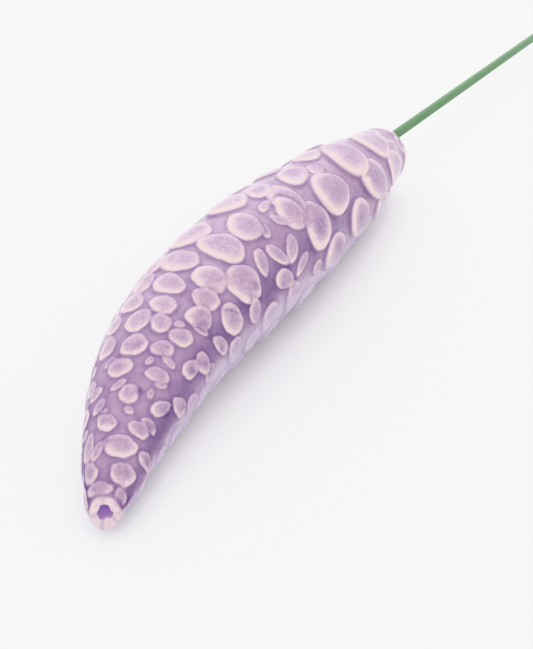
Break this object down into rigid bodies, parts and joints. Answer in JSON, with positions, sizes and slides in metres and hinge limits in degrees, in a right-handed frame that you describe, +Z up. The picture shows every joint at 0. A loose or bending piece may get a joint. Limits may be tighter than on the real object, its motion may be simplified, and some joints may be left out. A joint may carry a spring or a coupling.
{
  "type": "glazed ceramic lavender spike",
  "caption": "Handmade ceramic lavender spike with pressed clay florets under a lilac glaze, on a straight green coated wire stem, lying on its side.",
  "frame": {"origin": "centre of the underside of the whole object's box, on the surface it lies on", "axes": "+X along the stem from the spike to the cut end, +Z up, and the tip of the spike at -X curls towards -Y"},
  "size_m": [0.3068, 0.0248, 0.0209],
  "materials": {
    "lilac_glaze": "glossy lilac glaze, thin and pale on the rims of the florets, deep in the hollows between them",
    "green_plastic": "satin",
    "wire_steel": "plain drawn wire, cut end",
    "clear_glue": "cured adhesive, slightly cloudy"
  },
  "bodies": {
    "root": {"ceramic_spike": "lilac_glaze", "stem_coating": "green_plastic", "stem_core": "wire_steel", "glue_plug": "clear_glue"}
  },
  "joints": []
}
